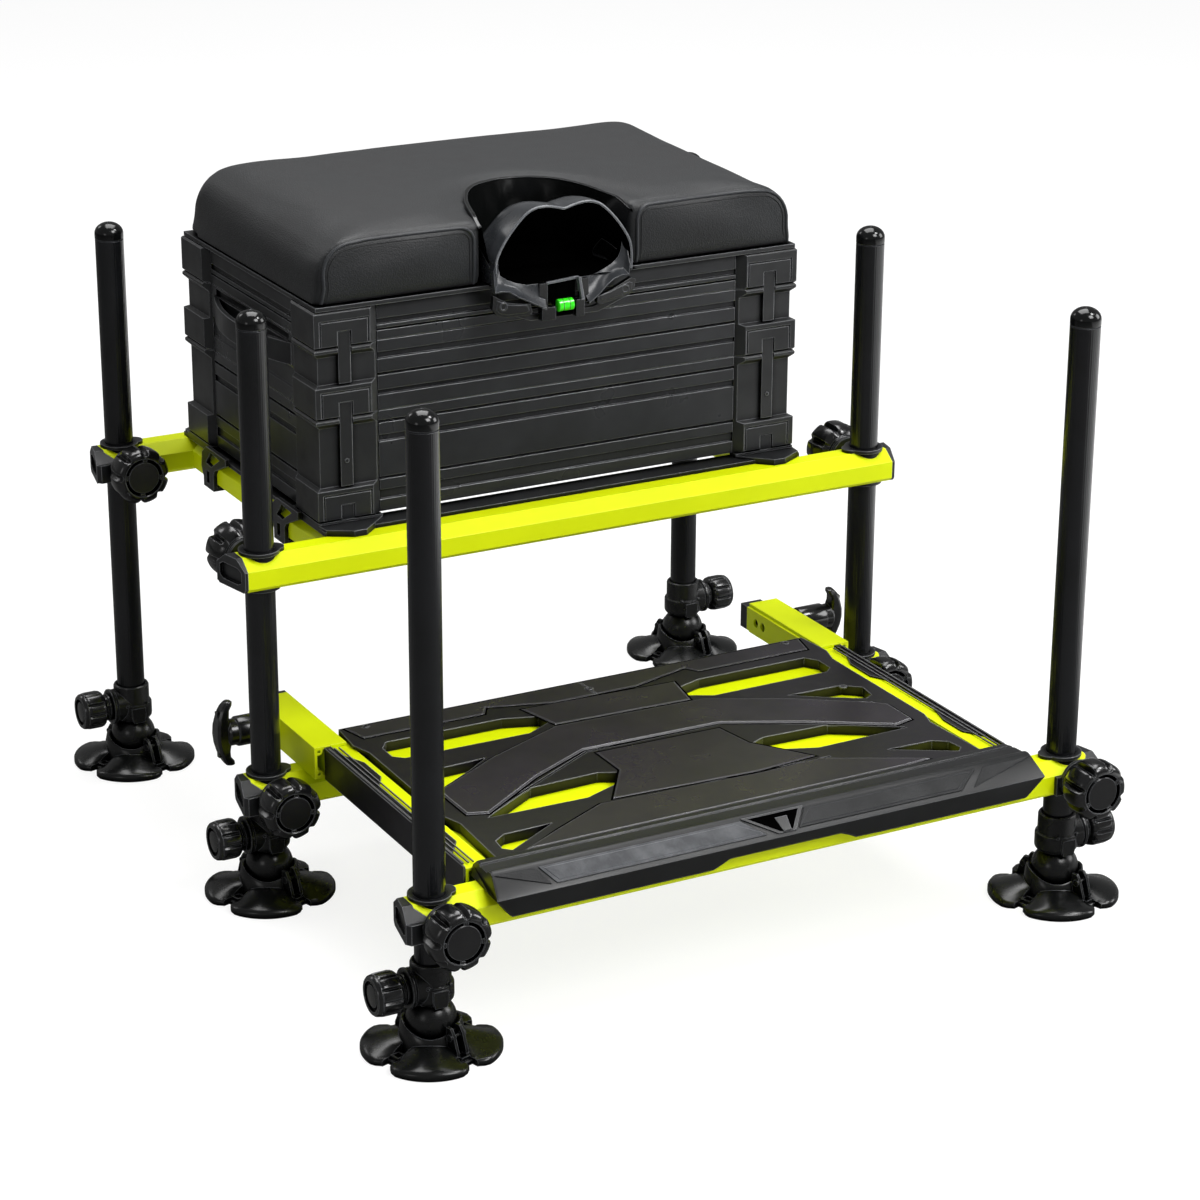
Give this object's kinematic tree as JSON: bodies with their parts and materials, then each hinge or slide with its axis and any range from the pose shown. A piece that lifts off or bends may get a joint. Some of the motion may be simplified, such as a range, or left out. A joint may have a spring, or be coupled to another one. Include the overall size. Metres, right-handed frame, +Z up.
{
  "type": "fishing seat box",
  "caption": "Angler's seat box with cushion lid, stacked storage units, a side drawer, adjustable legs with swivel pads and a slide-out footplate.",
  "frame": {"origin": "on the ground, below the middle of the whole outline", "axes": "+Z up, -Y from the box towards the footplate's toe bar, +X to the right for someone who faces the box from the toe bar"},
  "size_m": [0.69, 0.7452, 0.5526],
  "materials": {
    "lime_metal": "satin lime powder coat with fine extrusion lines",
    "grey_moulding": "fine-grained charcoal moulding",
    "graphite_metal": "satin graphite anodised extrusion",
    "black_moulding": "semi-gloss black moulding",
    "black_tube": "satin black anodised tube",
    "knob_moulding": "polished black moulding",
    "hinge_steel": "brushed",
    "seat_cloth": "matt charcoal coated cloth",
    "spirit_glass": "clear green vial",
    "grip_rubber": "textured grip"
  },
  "bodies": {
    "seat_box": {"main_front_tube": "lime_metal", "main_rear_tube": "lime_metal", "side_rails": "lime_metal", "main_clamp_ends": "grey_moulding", "main_bushes": "black_moulding", "base_frame": "grey_moulding", "base_hooks": "grey_moulding", "deep_castings": "grey_moulding", "deep_panels": "graphite_metal", "mid_castings": "grey_moulding", "mid_panels": "graphite_metal", "tray_castings": "grey_moulding", "tray_panels": "graphite_metal", "tie_straps": "grey_moulding", "seat_hinge": "hinge_steel"},
    "drawer": {"drawer_tray": "graphite_metal", "drawer_handle": "grey_moulding"},
    "seat": {"seat_base": "grey_moulding", "seat_cushion": "seat_cloth", "seat_scoop": "black_moulding", "spirit_level": "spirit_glass"},
    "latch": {"seat_latch": "grey_moulding"},
    "brackets": {"bracket_tubes": "lime_metal", "bracket_channels": "lime_metal", "bracket_fittings": "grey_moulding"},
    "footplate": {"footplate_frame": "lime_metal", "footplate_deck": "grey_moulding", "side_covers": "black_moulding", "toe_bar": "black_moulding", "toe_grips": "grip_rubber", "footplate_fittings": "grey_moulding", "rail_caps": "black_moulding"},
    "leg_rear_left": {"leg_rear_left": "black_tube"},
    "pad_rear_left": {"pad_rear_left": "knob_moulding"},
    "foot_knob_rear_left": {"foot_knob_rear_left": "knob_moulding"},
    "leg_rear_right": {"leg_rear_right": "black_tube"},
    "pad_rear_right": {"pad_rear_right": "knob_moulding"},
    "foot_knob_rear_right": {"foot_knob_rear_right": "knob_moulding"},
    "leg_front_left": {"leg_front_left": "black_tube"},
    "pad_front_left": {"pad_front_left": "knob_moulding"},
    "foot_knob_front_left": {"foot_knob_front_left": "knob_moulding"},
    "leg_front_right": {"leg_front_right": "black_tube"},
    "pad_front_right": {"pad_front_right": "knob_moulding"},
    "foot_knob_front_right": {"foot_knob_front_right": "knob_moulding"},
    "leg_foot_left": {"leg_foot_left": "black_tube"},
    "pad_foot_left": {"pad_foot_left": "knob_moulding"},
    "foot_knob_foot_left": {"foot_knob_foot_left": "knob_moulding"},
    "leg_foot_right": {"leg_foot_right": "black_tube"},
    "pad_foot_right": {"pad_foot_right": "knob_moulding"},
    "foot_knob_foot_right": {"foot_knob_foot_right": "knob_moulding"},
    "clamp_knob_rear_left": {"clamp_knob_rear_left": "knob_moulding"},
    "clamp_knob_rear_right": {"clamp_knob_rear_right": "knob_moulding"},
    "clamp_knob_front_left": {"clamp_knob_front_left": "knob_moulding"},
    "clamp_knob_front_right": {"clamp_knob_front_right": "knob_moulding"},
    "clamp_knob_bracket_left": {"clamp_knob_bracket_left": "knob_moulding"},
    "clamp_knob_bracket_right": {"clamp_knob_bracket_right": "knob_moulding"},
    "clamp_knob_foot_left": {"clamp_knob_foot_left": "knob_moulding"},
    "clamp_knob_foot_right": {"clamp_knob_foot_right": "knob_moulding"},
    "wing_handle_left": {"wing_handle_left": "knob_moulding"},
    "wing_handle_right": {"wing_handle_right": "knob_moulding"}
  },
  "joints": [
    {"name": "drawer_slide", "type": "slide", "parent": "seat_box", "child": "drawer", "axis": [-1, 0, 0], "range_m": [0, 0.2]},
    {"name": "seat_lift", "type": "hinge", "parent": "seat_box", "child": "seat", "pos_m": [0, 0.30895, 0.4919], "axis": [-1, 0, 0], "range_deg": [0, 95]},
    {"name": "latch_swing", "type": "hinge", "parent": "seat", "child": "latch", "pos_m": [-0.004, 0.01385, 0.4773], "axis": [1, 0, 0], "range_deg": [0, 25]},
    {"name": "bracket_height", "type": "slide", "parent": "seat_box", "child": "brackets", "axis": [0, 0, 1], "range_m": [-0.002, 0.1]},
    {"name": "footplate_slide", "type": "slide", "parent": "brackets", "child": "footplate", "axis": [0, -1, 0], "range_m": [0, 0.09]},
    {"name": "leg_rear_left_height", "type": "slide", "parent": "seat_box", "child": "leg_rear_left", "axis": [0, 0, 1], "range_m": [-0.15, 0.15]},
    {"name": "pad_rear_left_tilt", "type": "hinge", "parent": "leg_rear_left", "child": "pad_rear_left", "pos_m": [-0.29, 0.31765, 0.026], "axis": [1, 0, 0], "range_deg": [-20, 20]},
    {"name": "foot_knob_rear_left_turn", "type": "hinge", "parent": "leg_rear_left", "child": "foot_knob_rear_left", "pos_m": [-0.32, 0.31765, 0.056], "axis": [-1, 0, 0], "continuous": true},
    {"name": "leg_rear_right_height", "type": "slide", "parent": "seat_box", "child": "leg_rear_right", "axis": [0, 0, 1], "range_m": [-0.15, 0.15]},
    {"name": "pad_rear_right_tilt", "type": "hinge", "parent": "leg_rear_right", "child": "pad_rear_right", "pos_m": [0.29, 0.31765, 0.026], "axis": [1, 0, 0], "range_deg": [-20, 20]},
    {"name": "foot_knob_rear_right_turn", "type": "hinge", "parent": "leg_rear_right", "child": "foot_knob_rear_right", "pos_m": [0.32, 0.31765, 0.056], "axis": [1, 0, 0], "continuous": true},
    {"name": "leg_front_left_height", "type": "slide", "parent": "seat_box", "child": "leg_front_left", "axis": [0, 0, 1], "range_m": [-0.15, 0]},
    {"name": "pad_front_left_tilt", "type": "hinge", "parent": "leg_front_left", "child": "pad_front_left", "pos_m": [-0.29, 0.00065, 0.026], "axis": [1, 0, 0], "range_deg": [-20, 20]},
    {"name": "foot_knob_front_left_turn", "type": "hinge", "parent": "leg_front_left", "child": "foot_knob_front_left", "pos_m": [-0.32, 0.00065, 0.056], "axis": [-1, 0, 0], "continuous": true},
    {"name": "leg_front_right_height", "type": "slide", "parent": "seat_box", "child": "leg_front_right", "axis": [0, 0, 1], "range_m": [-0.15, 0]},
    {"name": "pad_front_right_tilt", "type": "hinge", "parent": "leg_front_right", "child": "pad_front_right", "pos_m": [0.29, 0.00065, 0.026], "axis": [1, 0, 0], "range_deg": [-20, 20]},
    {"name": "foot_knob_front_right_turn", "type": "hinge", "parent": "leg_front_right", "child": "foot_knob_front_right", "pos_m": [0.32, 0.00065, 0.056], "axis": [1, 0, 0], "continuous": true},
    {"name": "leg_foot_left_height", "type": "slide", "parent": "footplate", "child": "leg_foot_left", "axis": [0, 0, 1], "range_m": [-0.15, 0.015]},
    {"name": "pad_foot_left_tilt", "type": "hinge", "parent": "leg_foot_left", "child": "pad_foot_left", "pos_m": [-0.29, -0.31235, 0.026], "axis": [1, 0, 0], "range_deg": [-20, 20]},
    {"name": "foot_knob_foot_left_turn", "type": "hinge", "parent": "leg_foot_left", "child": "foot_knob_foot_left", "pos_m": [-0.32, -0.31235, 0.056], "axis": [-1, 0, 0], "continuous": true},
    {"name": "leg_foot_right_height", "type": "slide", "parent": "footplate", "child": "leg_foot_right", "axis": [0, 0, 1], "range_m": [-0.15, 0.015]},
    {"name": "pad_foot_right_tilt", "type": "hinge", "parent": "leg_foot_right", "child": "pad_foot_right", "pos_m": [0.29, -0.31235, 0.026], "axis": [1, 0, 0], "range_deg": [-20, 20]},
    {"name": "foot_knob_foot_right_turn", "type": "hinge", "parent": "leg_foot_right", "child": "foot_knob_foot_right", "pos_m": [0.32, -0.31235, 0.056], "axis": [1, 0, 0], "continuous": true},
    {"name": "clamp_knob_rear_left_turn", "type": "hinge", "parent": "seat_box", "child": "clamp_knob_rear_left", "pos_m": [-0.29, 0.27265, 0.29], "axis": [0, -1, 0], "continuous": true},
    {"name": "clamp_knob_rear_right_turn", "type": "hinge", "parent": "seat_box", "child": "clamp_knob_rear_right", "pos_m": [0.29, 0.27265, 0.29], "axis": [0, -1, 0], "continuous": true},
    {"name": "clamp_knob_front_left_turn", "type": "hinge", "parent": "seat_box", "child": "clamp_knob_front_left", "pos_m": [-0.29, 0.04565, 0.29], "axis": [0, 1, 0], "continuous": true},
    {"name": "clamp_knob_front_right_turn", "type": "hinge", "parent": "seat_box", "child": "clamp_knob_front_right", "pos_m": [0.29, 0.04565, 0.29], "axis": [0, 1, 0], "continuous": true},
    {"name": "clamp_knob_bracket_left_turn", "type": "hinge", "parent": "brackets", "child": "clamp_knob_bracket_left", "pos_m": [-0.29, -0.04435, 0.095], "axis": [0, -1, 0], "continuous": true},
    {"name": "clamp_knob_bracket_right_turn", "type": "hinge", "parent": "brackets", "child": "clamp_knob_bracket_right", "pos_m": [0.29, -0.04435, 0.095], "axis": [0, -1, 0], "continuous": true},
    {"name": "clamp_knob_foot_left_turn", "type": "hinge", "parent": "footplate", "child": "clamp_knob_foot_left", "pos_m": [-0.29, -0.35735, 0.115], "axis": [0, -1, 0], "continuous": true},
    {"name": "clamp_knob_foot_right_turn", "type": "hinge", "parent": "footplate", "child": "clamp_knob_foot_right", "pos_m": [0.29, -0.35735, 0.115], "axis": [0, -1, 0], "continuous": true},
    {"name": "wing_handle_left_turn", "type": "hinge", "parent": "brackets", "child": "wing_handle_left", "pos_m": [-0.275, 0.06365, 0.1225], "axis": [-1, 0, 0], "continuous": true},
    {"name": "wing_handle_right_turn", "type": "hinge", "parent": "brackets", "child": "wing_handle_right", "pos_m": [0.275, 0.06365, 0.1225], "axis": [1, 0, 0], "continuous": true}
  ]
}
